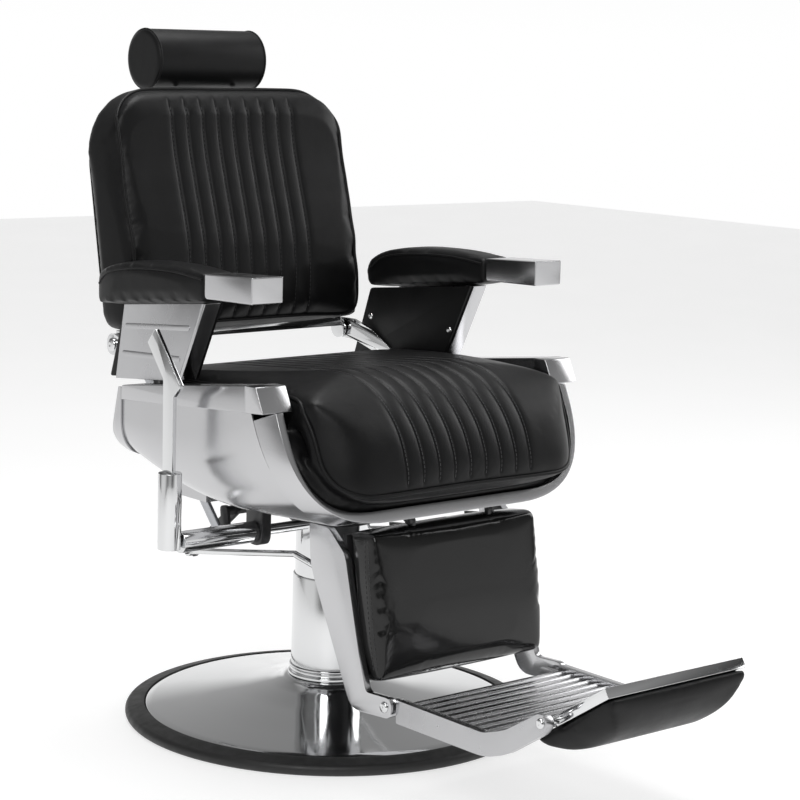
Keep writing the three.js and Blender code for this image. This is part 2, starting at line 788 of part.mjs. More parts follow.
function buildLegPad() {
  const { halfWidth: w, height, depth, front, top } = LEG_PAD;
  const pad = [
    [0, 0, 14],
    [depth - 1, 0, 4],
    [depth - 1, -height, 6],
    [0, -height, 16],
    [-10, -height * 0.5, 60],
  ];
  const place = (g) => g.rotateX(-LEG_TILT).translate(0, front, top);
  add('leg_pad', place(alongX(pad, -w, w, 4)), PATENT);
  const board = block(-w - 2, w + 2, depth, depth + 9, -height + 4, -6);
  const { x, thick, barrel, pin } = LEG_EAR;
  const leaves = [-1, 1].map((s) => {
    const x0 = s > 0 ? x - thick - 0.5 : -x + 0.5;
    const x1 = x0 + thick;
    const knuckle = alongX(disc(LEG_AXIS.y, LEG_AXIS.z, barrel), x0, x1, 5);
    const [from, to] = s > 0 ? [x0 + 2, x + thick + 1] : [-x - thick - 1, x1 - 2];
    const hingePin = barX(pin, from, to, LEG_AXIS.y, LEG_AXIS.z, 12);
    const strap = place(block(x0, x1, LEG_AXIS.y - front - 4, depth + 5, 0.6, 3.6));
    const tail = place(block(x0, x1, depth + 0.5, depth + 5, -20, 3.6));
    const web = block(x0, x1, LEG_AXIS.y - 4, LEG_AXIS.y + 4, top - 1, LEG_AXIS.z);
    return joined(knuckle, hingePin, strap, tail, web);
  });
  add('leg_board', joined(place(board), ...leaves), BLACK_STEEL);
}

function buildLegHinge() {
  const { x, thick, barrel, pin } = LEG_EAR;
  const top = FRONT_FRAME.underside - GAP;
  const rear = LEG_AXIS.y + 15;
  const strap = block(-x - thick, x + thick, rear - 7, rear, top - 3.3, top);
  const ears = [-x - thick, x].map((x0) => {
    const ear = outline([
      [LEG_AXIS.y - barrel, LEG_AXIS.z - barrel, 4],
      [LEG_AXIS.y + barrel, LEG_AXIS.z - barrel, 4],
      [rear, top - 3.3],
      [rear, top],
      [LEG_AXIS.y - barrel, top],
    ]);
    return alongX(bore(ear, LEG_AXIS.y, LEG_AXIS.z, pin + RUN), x0, x0 + thick, 5);
  });
  add('leg_hinge', joined(strap, ...ears), BLACK_STEEL);
}

// ---------------------------------------------------------------- footplate and flap

function buildFootplate() {
  const { outer, barThick, rear, bend, top, bottom } = FOOT;
  const side = outline([
    [rear, bottom, 4],
    [bend - 6, bottom, 20],
    [-640, 128, 12],
    [FLAP_AXIS.y - 2, FLAP_AXIS.z - 18, 10],
    [FLAP_AXIS.y - 17, FLAP_AXIS.z + 2, 12],
    [FLAP_AXIS.y + 2, FLAP_AXIS.z + 16, 10],
    [-636, 164, 16],
    [bend, top, 10],
    [rear, top + 1, 3],
  ]);
  bore(side, FLAP_AXIS.y, FLAP_AXIS.z, 5 + RUN);
  addPair('foot_bar', alongX(side, outer - barThick, outer, 5), CAST);
  const skin = [[rear, top - 8]];
  for (let i = 0; i < RIBS.count; i += 1) {
    const y = RIBS.first - i * RIBS.pitch;
    skin.push([y, plateTop(y)], [y - 2, plateTop(y) + RIBS.height]);
    skin.push([y - RIBS.width, plateTop(y - RIBS.width) + RIBS.height], [y - RIBS.width - 2, plateTop(y)]);
  }
  const nose = -676;
  skin.push([nose, plateTop(nose)], [nose, plateTop(nose) - 5]);
  skin.push([bend - 8, plateTop(bend) - 5], [rear, top - 13]);
  const inner = outer - barThick - GAP;
  const lugs = [-1, 1].map((s) => {
    const x1 = LEG_ARM.inner - 0.5;
    const lug = [
      [FOOT_AXIS.y + 12, FOOT_AXIS.z - 12, 12],
      [FOOT_AXIS.y + 12, FOOT_AXIS.z + 9, 10],
      [rear - 14, FOOT_AXIS.z + 9],
      [rear - 14, FOOT_AXIS.z - 12],
    ];
    return alongX(lug, s > 0 ? x1 - 22 : -x1 + 10.5, s > 0 ? x1 - 10.5 : -x1 + 22, 5);
  });
  const pins = [-1, 1].map((s) => {
    const [near, far] = [LEG_ARM.inner - 14, LEG_ARM.outer + 3];
    return barX(5, s > 0 ? near : -far, s > 0 ? far : -near, FOOT_AXIS.y, FOOT_AXIS.z, 14);
  });
  add('foot_plate', joined(alongX(skin, -inner, inner), ...lugs, ...pins), CAST);
}

/** Height of the footplate's skin between the ribs: flat, then rising to the flap. */
function plateTop(y) {
  return FOOT.top - 8 + Math.max(0, FOOT.bend - y) * 0.38;
}

function buildFlap() {
  const { halfWidth: w, front, rear, panelRear, bar: height, side, padDepth } = FLAP;
  const place = (g) => lifted(g.translate(0, FLAP_AXIS.y, FLAP_AXIS.z), FLAP_AXIS, FLAP_TILT);
  const frame = joined(
    block(-w, w, -front, -front + side, -8, height - 8),
    block(-w, -w + side, -front, 8, -8, height - 8),
    block(w - side, w, -front, 8, -8, height - 8),
    ...[-1, 1].map((s) => {
      const far = FOOT.outer + 3;
      return barX(5, s > 0 ? w - 4 : -far, s > 0 ? far : -w + 4, 0, 0, 14);
    }),
  );
  add('flap_frame', place(frame), CHROME);
  const panel = block(-w + side + GAP, w - side - GAP, -front + side + GAP, panelRear, -4, 2);
  add('flap_panel', place(panel), CAST);
  const belly = [
    [-front + 2, -9],
    [-front - 1, -16, 4],
    [-front * 0.62, -padDepth - 6, 40],
    [rear * 0.3, -padDepth, 40],
    [rear, -14, 12],
    [rear, -5],
    [-front + side + 2, -5],
    [-front + side + 2, -9],
  ];
  const ends = [
    [-w + 2, -4],
    [-w + 2, -20, 10],
    [-w + 34, -padDepth - 8, 50],
    [w - 34, -padDepth - 8, 50],
    [w - 2, -20, 10],
    [w - 2, -4],
  ];
  const pad = common(alongX(belly, -w, w, 5), alongY(ends, -front - 2, rear + 2, 5));
  const room = joined(
    block(-w - 1, -w + side + GAP, -front - 4, 8 + GAP, -8 - GAP, 10),
    block(w - side - GAP, w + 1, -front - 4, 8 + GAP, -8 - GAP, 10),
    block(-w - 1, w + 1, -front - 4, -front + side + GAP, -8 - GAP, 10),
  );
  add('flap_pad', place(cut(pad, room)), VINYL);
}

// ---------------------------------------------------------------- lever

function buildLever() {
  const { x, y, z, tube, socket, shaft } = LEVER;
  const joint = x + socket + GAP;
  const arm = barX(tube, joint, -206, y, z, 24);
  const stub = barX(shaft, -207, -96, y, z, 16);
  add('lever_tube', joined(arm, stub), CHROME);
  const post = alongZ(disc(x, y, socket), z - 8, 470, 12);
  const room = barX(tube + GAP, joint, -300, y, z, 24);
  add('lever_socket', cut(post, room), CHROME);
  const blade = [
    [-60, 470 + GAP],
    [-34, 470 + GAP],
    [-33, 618],
    [12, 671, 3],
    [-9, 695, 3],
    [-81, 611, 5],
    [-60, 592],
  ];
  add('lever_bar', alongX(blade, x - 4, x + 4, 3), CHROME);
  const bearing = outline([
    [y - 22, z - 22, 20],
    [y + 22, z - 22, 20],
    [y + 22, tubFloorZ(y - 22) - GAP],
    [y - 22, tubFloorZ(y - 22) - GAP],
  ]);
  add('lever_bearing', alongX(bore(bearing, y, z, shaft + RUN), -205, -187, 8), BLACK_STEEL);
}

buildBase();
buildPump();
buildTub();
buildRails();
buildFrontFrame();
buildMounting();
buildSeatFrame();
buildSeat();
buildArms();
buildReclineBrackets();
buildBack();
buildHeadrest();
buildCrossbar();
buildRocker();
buildDriveLink();
buildRods();
buildLegArms();
buildLegPad();
buildLegHinge();
buildFootplate();
buildFlap();
buildLever();

export default chair;
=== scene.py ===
"""Looks for the hydraulic barber chair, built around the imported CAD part.

Metres, +Z up, origin on the floor under the swivel axis; the sitter faces -Y and the pump lever
is at -X. CAD nodes keep their places; cushions, turned metal and trim are made again in full detail.
"""

import json
import math

import bmesh
import bpy
import numpy as np
from mathutils import Matrix, Vector
from mathutils.bvhtree import BVHTree


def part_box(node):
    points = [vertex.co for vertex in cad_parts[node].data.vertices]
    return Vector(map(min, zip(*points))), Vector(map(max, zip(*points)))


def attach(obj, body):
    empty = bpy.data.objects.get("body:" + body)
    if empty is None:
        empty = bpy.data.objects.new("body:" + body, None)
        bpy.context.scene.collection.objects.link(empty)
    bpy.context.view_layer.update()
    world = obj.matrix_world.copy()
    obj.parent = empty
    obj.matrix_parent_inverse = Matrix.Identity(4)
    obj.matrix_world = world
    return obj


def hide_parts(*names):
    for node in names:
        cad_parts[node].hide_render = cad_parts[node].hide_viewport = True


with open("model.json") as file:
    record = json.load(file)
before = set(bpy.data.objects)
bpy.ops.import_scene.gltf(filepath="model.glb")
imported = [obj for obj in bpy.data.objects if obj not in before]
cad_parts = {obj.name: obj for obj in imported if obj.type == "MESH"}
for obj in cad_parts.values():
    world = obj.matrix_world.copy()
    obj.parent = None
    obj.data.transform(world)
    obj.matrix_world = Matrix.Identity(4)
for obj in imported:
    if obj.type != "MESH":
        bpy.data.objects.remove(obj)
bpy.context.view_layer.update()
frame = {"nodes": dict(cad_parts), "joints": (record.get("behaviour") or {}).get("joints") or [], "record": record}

MM = 0.001
SIDES = (("right", -1), ("left", 1))  # with the sign of x
JOINTS = {joint["name"]: joint for joint in frame["joints"]}
SLOT_OF = {part["node"]: part["material_slot"] for part in frame["record"]["subparts"]}

# ---------------------------------------------------------------- materials


class Shader:
    """A node material built up from one principled shader."""

    def __init__(self, name, colour, roughness, metallic=0.0, **values):
        self.material = bpy.data.materials.new(name)
        self.material.use_nodes = True
        self.tree = self.material.node_tree
        self.shader = self.tree.nodes["Principled BSDF"]
        self.set("Base Color", (*colour, 1.0))
        self.set("Roughness", roughness)
        self.set("Metallic", metallic)
        for socket, value in values.items():
            self.set(socket.replace("_", " "), value)
        self.coordinates = self.node("ShaderNodeTexCoord").outputs["Object"]

    def node(self, kind, **values):
        made = self.tree.nodes.new(kind)
        for name, value in values.items():
            setattr(made, name, value)
        return made

    def link(self, a, b):
        self.tree.links.new(a, b)

    def set(self, socket, value):
        self.shader.inputs[socket].default_value = value

    def noise(self, scale, detail=3.0, stretch=None):
        """Noise of so many cells per metre, optionally stretched along an axis."""
        made = self.node("ShaderNodeTexNoise")
        made.inputs["Scale"].default_value = scale
        made.inputs["Detail"].default_value = detail
        source = self.coordinates
        if stretch:
            mapping = self.node("ShaderNodeMapping")
            mapping.inputs["Scale"].default_value = stretch
            self.link(source, mapping.inputs["Vector"])
            source = mapping.outputs["Vector"]
        self.link(source, made.inputs["Vector"])
        return made.outputs["Fac"]

    def cells(self, scale):
        made = self.node("ShaderNodeTexVoronoi")
        made.inputs["Scale"].default_value = scale
        self.link(self.coordinates, made.inputs["Vector"])
        return made.outputs["Distance"]

    def spread(self, value, low, high):
        """Maps a 0 to 1 value onto low to high."""
        made = self.node("ShaderNodeMapRange")
        made.inputs["From Min"].default_value = 0.3
        made.inputs["From Max"].default_value = 0.7
        made.inputs["To Min"].default_value = low
        made.inputs["To Max"].default_value = high
        self.link(value, made.inputs["Value"])
        return made.outputs["Result"]

    def roughness(self, value, low, high):
        self.link(self.spread(value, low, high), self.shader.inputs["Roughness"])

    def bump(self, height, strength, distance):
        made = self.node("ShaderNodeBump")
        made.inputs["Strength"].default_value = strength
        made.inputs["Distance"].default_value = distance
        self.link(height, made.inputs["Height"])
        below = self.shader.inputs["Normal"]
        if below.is_linked:
            self.link(below.links[0].from_socket, made.inputs["Normal"])
        self.link(made.outputs["Normal"], below)


def make_chrome():
    shader = Shader("polished_chrome", (0.72, 0.725, 0.73), 0.08, 1.0)
    shader.roughness(shader.noise(14), 0.05, 0.12)
    return shader.material


def make_soft_chrome():
    shader = Shader("soft_chrome", (0.56, 0.56, 0.57), 0.24, 1.0)
    shader.roughness(shader.noise(9), 0.17, 0.27)
    shader.bump(shader.noise(8, 1), 0.05, 0.004)
    return shader.material


def make_cast():
    shader = Shader("cast_aluminium", (0.5, 0.5, 0.51), 0.32, 1.0)
    shader.roughness(shader.noise(20, 2), 0.2, 0.3)
    shader.bump(shader.noise(500), 0.05, 0.0004)
    return shader.material


def make_steel():
    shader = Shader("plain_steel", (0.5, 0.51, 0.53), 0.4, 1.0)
    shader.roughness(shader.noise(90, stretch=(1, 1, 8)), 0.32, 0.48)
    return shader.material


def make_black_steel():
    shader = Shader("black_steel", (0.018, 0.018, 0.019), 0.4)
    shader.bump(shader.noise(700), 0.12, 0.0004)
    return shader.material


def make_iron():
    shader = Shader("cast_iron", (0.025, 0.025, 0.026), 0.55, 0.4)
    shader.bump(shader.noise(260), 0.3, 0.0008)
    return shader.material


def make_rubber():
    shader = Shader("base_rubber", (0.012, 0.012, 0.012), 0.5)
    shader.roughness(shader.noise(60), 0.42, 0.58)
    shader.bump(shader.noise(900), 0.1, 0.0003)
    return shader.material


def make_vinyl():
    shader = Shader("black_vinyl", (0.005, 0.005, 0.0053), 0.4, Specular_IOR_Level=0.2)
    shader.roughness(shader.noise(22), 0.36, 0.46)
    shader.bump(shader.cells(800), 0.25, 0.0004)
    shader.bump(shader.noise(30, 4), 0.14, 0.003)
    return shader.material


def make_patent():
    gloss = {"Specular_IOR_Level": 0.3, "Coat_Weight": 0.25, "Coat_Roughness": 0.05}
    shader = Shader("patent_vinyl", (0.004, 0.004, 0.004), 0.14, **gloss)
    shader.roughness(shader.noise(16), 0.12, 0.2)
    shader.bump(shader.noise(26, 3), 0.1, 0.0025)
    return shader.material


def make_board():
    shader = Shader("board", (0.03, 0.026, 0.022), 0.75)
    shader.bump(shader.noise(60, stretch=(1, 12, 1)), 0.3, 0.0006)
    return shader.material


def make_thread():
    shader = Shader("thread", (0.05, 0.05, 0.052), 0.6)
    shader.bump(shader.noise(2500), 0.4, 0.0002)
    return shader.material


def make_stage():
    glow = {"Emission_Color": (1, 1, 1, 1), "Emission_Strength": 0.68}
    shader = Shader("studio_floor", (0.38, 0.38, 0.38), 0.8, **glow)
    shader.roughness(shader.noise(3), 0.55, 0.65)
    return shader.material


MATERIALS = {
    "polished_chrome": make_chrome(),
    "cast_aluminium": make_cast(),
    "plain_steel": make_steel(),
    "black_steel": make_black_steel(),
    "cast_iron": make_iron(),
    "base_rubber": make_rubber(),
    "black_vinyl": make_vinyl(),
    "patent_vinyl": make_patent(),
    "board": make_board(),
}
THREAD = make_thread()
SOFT_CHROME = make_soft_chrome()
SOFT_CHROME_NODES = ("arm_cap", "arm_strip", "corner_cap", "rail", "leg_arm")


def paint(obj, material):
    obj.data.materials.clear()
    obj.data.materials.append(material)


# ---------------------------------------------------------------- meshes


def placed(name, data):
    """A new object in the scene that shows the given data."""
    obj = bpy.data.objects.new(name, data)
    bpy.context.scene.collection.objects.link(obj)
    return obj


def mesh_object(name, points, faces, smooth_angle=35):
    mesh = bpy.data.meshes.new(name)
    mesh.from_pydata([tuple(p) for p in points], [], faces)
    mesh.validate()
    obj = placed(name, mesh)
    shade(obj, smooth_angle)
    return obj


def shade(obj, angle=35):
    mesh = obj.data
    mesh.polygons.foreach_set("use_smooth", [True] * len(mesh.polygons))
    mesh.set_sharp_from_angle(angle=math.radians(angle))


def evaluated(obj):
    """The plain mesh that an object with modifiers comes to."""
    graph = bpy.context.evaluated_depsgraph_get()
    return bpy.data.meshes.new_from_object(obj.evaluated_get(graph))


def as_mesh(obj):
    """Replaces a mesh with modifiers by the plain mesh it evaluates to."""
    mesh = evaluated(obj)
    name = obj.name
    bpy.data.objects.remove(obj)
    made = placed(name, mesh)
    shade(made)
    return made


def belongs(obj, body, slot, *nodes, material=None):
    """Puts a new piece on a body, painted with a record slot's material unless another is given, in place of the
    named CAD nodes.
    """
    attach(obj, body)
    paint(obj, material or MATERIALS[slot])
    if nodes:
        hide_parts(*nodes)
    return obj


def in_metres(places):
    """Places given in millimetres, in the scene's metres."""
    return [tuple(v * MM for v in place) for place in places]


def mirrored(points):
    """The same points on the other side of the chair, in reverse order."""
    return [(-x, y, z) for x, y, z in reversed(points)]


def grid_faces(rows, n):
    """Faces of a sheet through open rows of n points."""
    faces = []
    for row in range(rows - 1):
        a, b = row * n, (row + 1) * n
        faces += [(a + k, a + k + 1, b + k + 1, b + k) for k in range(n - 1)]
    return faces


def loop_faces(rows, n, closed=False):
    """Faces of a skin through loops of n points, with end caps unless the last loop meets the first."""
    faces = []
    for row in range(rows if closed else rows - 1):
        a, b = row * n, (row + 1) % rows * n
        faces += [(a + k, a + (k + 1) % n, b + (k + 1) % n, b + k) for k in range(n)]
    if not closed:
        faces.append(tuple(range(n))[::-1])
        faces.append(tuple((rows - 1) * n + k for k in range(n)))
    return faces


def turned(name, profile, axis="Z", at=(0, 0, 0), steps=144):
    """Solid of revolution from (radius, along) points that start and end on the axis."""
    points, faces = [], []
    rows = len(profile)
    for i in range(steps):
        angle = 2 * math.pi * i / steps
        c, s = math.cos(angle), math.sin(angle)
        for r, h in profile:
            local = (r * c, r * s, h) if axis == "Z" else (h, r * c, r * s)
            points.append([local[k] + at[k] for k in range(3)])
    for i in range(steps):
        a, b = i * rows, ((i + 1) % steps) * rows
        for k in range(rows - 1):
            faces.append((a + k, b + k, b + k + 1, a + k + 1))
    obj = mesh_object(name, points, faces)
    clean(obj)
    return obj


def clean(obj):
    """Welds doubled points and turns the faces outwards."""
    work = bmesh.new()
    work.from_mesh(obj.data)
    bmesh.ops.remove_doubles(work, verts=work.verts, dist=1e-6)
    bmesh.ops.recalc_face_normals(work, faces=work.faces)
    work.to_mesh(obj.data)
    work.free()


def rounded(points, radius, steps=5):
    """Rounds every inner corner of an open run of (a, b) points."""
    out = [points[0]]
    for before, corner, after in zip(points, points[1:], points[2:]):
        p, q, r = (np.array(v, float) for v in (before, corner, after))
        back, ahead = p - q, r - q
        cut = min(radius, 0.45 * np.linalg.norm(back), 0.45 * np.linalg.norm(ahead))
        start = q + back / np.linalg.norm(back) * cut
        end = q + ahead / np.linalg.norm(ahead) * cut
        for k in range(steps + 1):
            t = k / steps
            out.append(tuple((1 - t) ** 2 * start + 2 * t * (1 - t) * q + t * t * end))
    out.append(points[-1])
    return out


def tube_parts(run, radius, closed=False, sides=10):
    """Points and faces of a round cord along a run of points."""
    run = np.array([tuple(p) for p in run], float)
    ahead = np.roll(run, -1, axis=0) - np.roll(run, 1, axis=0)
    if not closed:
        ahead[0], ahead[-1] = run[1] - run[0], run[-1] - run[-2]
    ahead /= np.linalg.norm(ahead, axis=1, keepdims=True)
    side = np.cross(ahead[0], (0.31, 0.17, 0.93))
    points = []
    for place, direction in zip(run, ahead):
        side = side - direction * (side @ direction)
        side /= np.linalg.norm(side)
        up = np.cross(direction, side)
        for k in range(sides):
            angle = 2 * math.pi * k / sides
            points.append(place + radius * (math.cos(angle) * side + math.sin(angle) * up))
    return points, loop_faces(len(run), sides, closed)


def tube(name, run, radius, closed=False, sides=10):
    return mesh_object(name, *tube_parts(run, radius, closed, sides), 60)


def smooth_run(points, spacing=0.006):
    """A smooth, evenly spaced run through a few points (Catmull-Rom)."""
    points = np.array(points, float)
    padded = np.vstack([2 * points[0] - points[1], points, 2 * points[-1] - points[-2]])
    out = []
    for p0, p1, p2, p3 in zip(padded, padded[1:], padded[2:], padded[3:]):
        for t in np.linspace(0, 1, 16, endpoint=False):
            bend = 2 * p0 - 5 * p1 + 4 * p2 - p3
            twist = 3 * (p1 - p2) + p3 - p0
            out.append((2 * p1 + (p2 - p0) * t + bend * t**2 + twist * t**3) / 2)
    out = np.array(out + [points[-1]])
    travelled = np.concatenate([[0], np.cumsum(np.linalg.norm(np.diff(out, axis=0), axis=1))])
    at = np.linspace(0, travelled[-1], max(4, int(travelled[-1] / spacing)))
    return np.stack([np.interp(at, travelled, out[:, k]) for k in range(3)], axis=1)


# ---------------------------------------------------------------- CAD metal kept as it is

# Width of the bevel, in millimetres, on pieces with softer edges, and on all the others.
SOFT_EDGES = {"arm_cap": 2.2, "corner_cap": 1.6, "leg_arm": 2.2, "rail": 1.2}
CRISP_EDGE = 0.7


def edge_width(node):
    for start, width in SOFT_EDGES.items():
        if node.startswith(start):
            return width * MM
    return CRISP_EDGE * MM


def refine(obj, node):
    """Keeps a CAD node's shape and rounds its edges for the light."""
    weld = obj.modifiers.new("weld", "WELD")
    weld.merge_threshold = 1e-5
    flatten = obj.modifiers.new("flatten", "DECIMATE")
    flatten.decimate_type = "DISSOLVE"
    flatten.angle_limit = math.radians(1)
    bevel = obj.modifiers.new("edges", "BEVEL")
    bevel.width = edge_width(node)
    bevel.segments = 3
    bevel.limit_method = "ANGLE"
    bevel.angle_limit = math.radians(32)
    bevel.harden_normals = True
    mesh = obj.data
    mesh.polygons.foreach_set("use_smooth", [True] * len(mesh.polygons))
    paint(obj, SOFT_CHROME if node.startswith(SOFT_CHROME_NODES) else MATERIALS[SLOT_OF[node]])


# ---------------------------------------------------------------- base and column


def ring_profile():
    """The rubber ring's section, (radius, height) in millimetres: a round outer lip and a flat top."""
    lip = [(341 + 9 * math.sin(a), 9.5 - 9.5 * math.cos(a)) for a in np.linspace(0.3, 2.9, 12)]
    top = [(336, 19.6), (326, 23.0), (317.6, 24.0), (317.2, 21), (316.6, 11.4), (308, 11.3), (308, 0)]
    return [(308, 0), (341, 0)] + lip + top


def dish_profile():
    slope = [(316, 19), (315.6, 22.4), (306, 25), (235, 36), (150, 50), (100, 61), (84, 67), (77, 73)]
    return [(0, 12), (316, 12)] + rounded(slope + [(66, 73.6)], 16) + [(0, 73.6)]


def collar_profile():
    steps = [(72, 74.1), (72, 79.5), (66.5, 81), (66.5, 86), (70, 87.5), (70, 91.9)]
    return rounded([(0, 74.1)] + steps + [(0, 91.9)], 1.6, 4)


def base_pieces():
    made = turned("ring_trim", in_metres(ring_profile()), steps=200)
    belongs(made, "base", "base_rubber", "base_ring")
    made = turned("dish_polished", in_metres(dish_profile()), steps=240)
    belongs(made, "base", "polished_chrome", "base_dish")
    made = turned("collar_trim", in_metres(collar_profile()))
    belongs(made, "base", "polished_chrome", "base_collar")


def column_pieces():
    _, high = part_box("pump_casing")
    outer = high.x / MM
    casing = [(64.1, 92.5), (outer, 92.5), (outer, 247), (outer - 1, 249.6), (64.1, 249.6), (64.1, 92.5)]
    made = turned("casing_polished", in_metres(casing))
    belongs(made, "base", "polished_chrome", "pump_casing")
    sleeve = [(57, 98.2), (63.4, 98.2), (63.4, 344.4), (57, 344.4), (57, 98.2)]
    made = turned("sleeve_polished", in_metres(sleeve))
    belongs(made, "ram", "polished_chrome", "column_sleeve")


# ---------------------------------------------------------------- tub and front frame

LEAN = math.radians(24)  # of the front frame, back from upright
FRAME_FOOT = (-0.3155, 0.412)  # (y, z) of the frame's front edge at the bottom
FRAME_DEPTH = 0.034
FRAME_HEIGHT = 0.191
FRAME_HALF = 0.3075  # at the front; it flares to the rear to meet the tub
FLARED_HALF = 0.3282
FRAME_INNER_HALF = 0.294
FRAME_FLOOR = 0.02
FRAME_CORNER = 0.165
FLARED_CORNER = FRAME_CORNER + 0.02
FRAME_INNER_CORNER = 0.125
TUB_FOOT = 0.4083  # lowest height of the tub's floor
TUB_FRONT_HALF = FLARED_HALF + 0.0005
TUB_FRONT_HEIGHT = 0.2
TUB_HALF = 0.329
TUB_HEIGHT = 0.096  # at the rear
TUB_CORNER = 0.062
TUB_REAR = 0.152
TUB_GAUGE = 0.0032
TUB_MIDDLE = (0, -0.05, 0.53)
FLOOR_SPLIT = 0.2475  # half the width of the separate floor sheet at the rear
COVER_HALF = 0.3325
COVER_HEIGHT = 0.12
COVER_CORNER = 0.066
COVER_BASE = 0.4565
COVER_GAUGE = 0.003
SEAM = 0.0006  # gap between the tub and its rear cover
SLOT_BOX = ((-0.206, 0.084, 0.38), (-0.174, 0.2, 0.54))


def half_section(half, height, corner, side=10, bend=18, floor=12):
    """Half of a U: (x, height) from the rim down the side, round the corner and along the floor."""
    out = [(half, height + (corner - height) * k / side) for k in range(side)]
    for k in range(bend):
        t = k / bend
        out.append((half - corner * t * t, corner * (1 - t) ** 2))
    out += [((half - corner) * (1 - k / floor), 0.0) for k in range(floor + 1)]
    return out


def tub_floor_height(y):
    """The tub's floor is level at the front and rises towards the rear."""
    return 0.408 + 0.052 * (max(0.0, y + 0.12) / 0.272) ** 1.8


def tub_rim_height(y):
    """The tub's rim falls slightly towards the rear."""
    return 0.556 + (TUB_REAR - y) / 0.358 * 0.028


def in_front_frame(x, depth, height):
    """A place in the leaning front frame's own plane, flattened where it stands on the tub."""
    y = FRAME_FOOT[0] + depth * math.cos(LEAN) + height * math.sin(LEAN)
    z = FRAME_FOOT[1] - depth * math.sin(LEAN) + height * math.cos(LEAN)
    return (x, y, max(z, TUB_FOOT))


def tub_rows(rows=26):
    """The tub's right half as rows of places, from the front frame to the rear cover."""
    start = FRAME_DEPTH + 0.0004
    outline = half_section(TUB_FRONT_HALF, TUB_FRONT_HEIGHT, FLARED_CORNER)
    front = [in_front_frame(x, start, h) for x, h in outline]
    rear = half_section(TUB_HALF, TUB_HEIGHT, TUB_CORNER)
    out = []
    for k in range(rows + 1):
        t = k / rows
        ease = 1 - (1 - t) ** 3
        row = []
        for (xf, yf, zf), (xr, hr) in zip(front, rear):
            y = yf + (TUB_REAR - yf) * t
            low, high = tub_floor_height(y), tub_rim_height(y)
            share_front = (zf - TUB_FOOT) / (front[0][2] - TUB_FOOT)
            share = share_front + (hr / TUB_HEIGHT - share_front) * ease
            row.append((-(xf + (xr - xf) * ease), y, low + share * (high - low)))
        out.append(row)
    return out


def outward(obj, centre):
    """Turns an open sheet's faces away from a centre."""
    mesh = obj.data
    score = sum((p.center - Vector(centre)).dot(p.normal) * p.area for p in mesh.polygons)
    if score < 0:
        mesh.flip_normals()


def sheet(name, points, faces, thick, centre):
    """A sheet of metal whose outer face is given, thickened towards a centre."""
    obj = mesh_object(name, points, faces)
    clean(obj)
    outward(obj, centre)
    solid = obj.modifiers.new("thickness", "SOLIDIFY")
    solid.thickness = thick
    solid.offset = -1
    return obj


def tub_sheet(name, rows):
    points = [p for row in rows for p in row]
    return sheet(name, points, grid_faces(len(rows), len(rows[0])), TUB_GAUGE, TUB_MIDDLE)


def slotted(obj):
    """Cuts the drive link's slot through a sheet."""
    low, high = SLOT_BOX
    corners = [(x, y, z) for x in (low[0], high[0]) for y in (low[1], high[1]) for z in (low[2], high[2])]
    sides = [(0, 1, 3, 2), (4, 6, 7, 5), (0, 4, 5, 1), (2, 3, 7, 6), (0, 2, 6, 4), (1, 5, 7, 3)]
    tool = mesh_object("slot_tool", corners, sides)
    clean(tool)
    cut = obj.modifiers.new("slot", "BOOLEAN")
    cut.object = tool
    cut.solver = "EXACT"
    made = as_mesh(obj)
    bpy.data.objects.remove(tool)
    return made


def tub_pieces():
    rows = tub_rows()
    split = next(k for k, p in enumerate(rows[-1]) if -p[0] < FLOOR_SPLIT)
    right_rows = [row[: split + 1] for row in rows]
    left_rows = [mirrored(row) for row in right_rows]
    for side, side_rows in (("right", right_rows), ("left", left_rows)):
        obj = as_mesh(tub_sheet(f"tub_skin_{side}", side_rows))
        belongs(obj, "seat", "polished_chrome", f"tub_side_{side}", material=SOFT_CHROME)
    floor_rows = [row[split:] + mirrored(row[split:-1]) for row in rows]
    obj = slotted(tub_sheet("tub_underside", floor_rows))
    belongs(obj, "seat", "polished_chrome", "tub_floor", material=SOFT_CHROME)


def cover_row(share, inset):
    """One row of the rear cover: how far it reaches to the rear, and how far it draws in."""
    row = []
    start = TUB_REAR + SEAM
    for x, h in half_section(COVER_HALF, COVER_HEIGHT, COVER_CORNER):
        z = COVER_BASE + h + inset * (1 - min(1.0, h / 0.06)) - inset * 0.6 * (h > 0.119)
        face = np.interp(z, (0.446, 0.464, 0.496, 0.577), (0.176, 0.181, 0.19, 0.166))
        row.append((-x * (1 - inset / 0.33), start + (face - start) * share, z))
    return row + mirrored(row[:-1])


def rear_cover_piece():
    """The cover round the tub's rear: a rim that follows the tub, closed by a bowed face."""
    reaches = ((0.0, 0.0), (0.5, 0.0), (0.78, 0.0015), (0.93, 0.005), (1.0, 0.011))
    rows = [cover_row(share, inset) for share, inset in reaches]
    points = [p for row in rows for p in row]
    n = len(rows[0])
    first, last = len(points) - n, len(points) - 1
    faces = grid_faces(len(rows), n)
    faces += [(first + k, first + k + 1, last - 1 - k, last - k) for k in range(n // 2)]
    obj = sheet("rear_cover_skin", points, faces, COVER_GAUGE, (0, 0.1, 0.52))
    belongs(slotted(obj), "seat", "polished_chrome", "rear_cover", material=SOFT_CHROME)


